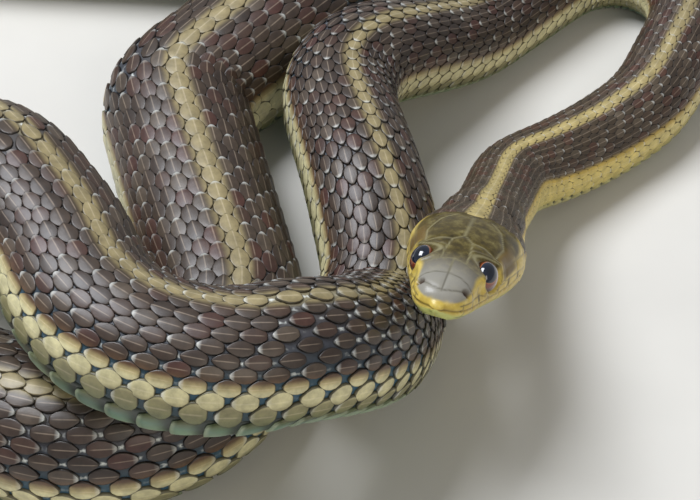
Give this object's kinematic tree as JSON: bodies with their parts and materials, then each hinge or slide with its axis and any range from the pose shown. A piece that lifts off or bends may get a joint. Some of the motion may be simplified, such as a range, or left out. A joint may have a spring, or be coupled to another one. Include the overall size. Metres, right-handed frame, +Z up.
{
  "type": "garter snake",
  "caption": "Life-size garter snake resting in loose coils with its head raised, made as a still display model.",
  "frame": {"origin": "on the floor, under the middle of the whole snake's bounding box", "axes": "+X to the right as the head's watcher sees it, along the longest extent; +Y away from that watcher; +Z up"},
  "size_m": [0.1954, 0.1648, 0.0329],
  "materials": {
    "back": "semi-matt keeled scales",
    "neck": "semi-matt keeled scales",
    "crown": "smooth satin head plates",
    "jaw": "smooth satin lip scales",
    "eye": "clear, wet and glossy"
  },
  "bodies": {
    "root": {"head": "crown", "lower_jaw": "jaw", "eye_left": "eye", "eye_right": "eye", "neck": "neck", "torso_01": "back", "torso_02": "back", "torso_03": "back", "torso_04": "back", "torso_05": "back", "torso_06": "back", "torso_07": "back", "torso_08": "back", "torso_09": "back", "torso_10": "back", "torso_11": "back", "torso_12": "back", "tail_01": "back", "tail_02": "back", "tail_03": "back", "tail_04": "back"}
  },
  "joints": []
}
